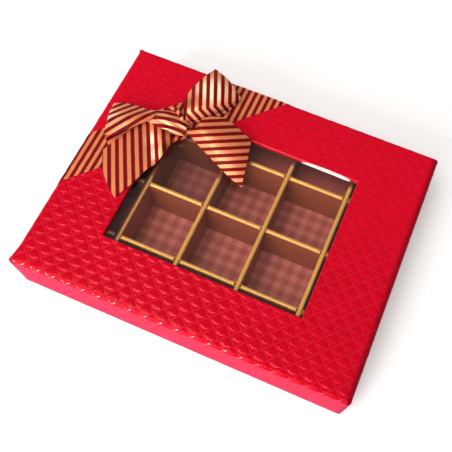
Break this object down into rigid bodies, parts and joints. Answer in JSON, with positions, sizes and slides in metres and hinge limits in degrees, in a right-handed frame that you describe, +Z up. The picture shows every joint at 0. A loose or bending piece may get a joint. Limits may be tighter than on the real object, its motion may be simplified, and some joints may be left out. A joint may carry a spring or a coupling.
{
  "type": "chocolate box",
  "caption": "Shallow rectangular gift box with a lift-off lid that has a clear window, a folded divider grid with square cells inside, and a striped ribbon bow on one corner of the lid.",
  "frame": {"origin": "middle of the box's underside, on the surface it stands on", "axes": "+X along the long side, to the right as the picture's near side is faced; +Y to the far side; +Z up"},
  "size_m": [0.2004, 0.16, 0.0464],
  "materials": {
    "grey_board": "raw grey board",
    "red_paper": "smooth satin paper",
    "red_embossed_paper": "glossy paper embossed with quilted diamonds",
    "brown_lining": "matte dark brown paper",
    "checked_card": "matte card printed with small checks",
    "gold_card": "satin gold-brown card",
    "clear_film": "clear glossy film",
    "white_tape": "white double-sided tape",
    "striped_satin": "satin ribbon with slanted gold and wine stripes"
  },
  "bodies": {
    "base": {"base_board": "grey_board", "base_wrap": "red_paper", "bottom_sheet": "red_paper", "base_lining": "brown_lining", "checked_pad": "checked_card", "long_divider_1": "gold_card", "long_divider_2": "gold_card", "long_divider_3": "gold_card", "long_divider_4": "gold_card", "cross_divider_1": "gold_card", "cross_divider_2": "gold_card", "cross_divider_3": "gold_card"},
    "lid": {"lid_board": "grey_board", "lid_cover": "red_embossed_paper", "window_film": "clear_film", "film_tape_near": "white_tape", "film_tape_far": "white_tape", "film_tape_left": "white_tape", "film_tape_right": "white_tape", "ribbon_band": "striped_satin", "bow_knot": "striped_satin", "bow_loop_left": "striped_satin", "bow_loop_right": "striped_satin", "bow_tail_left": "striped_satin", "bow_tail_right": "striped_satin"}
  },
  "joints": [
    {"name": "lid_lift", "type": "slide", "parent": "base", "child": "lid", "axis": [0, 0, 1], "range_m": [0, 0.04]}
  ]
}
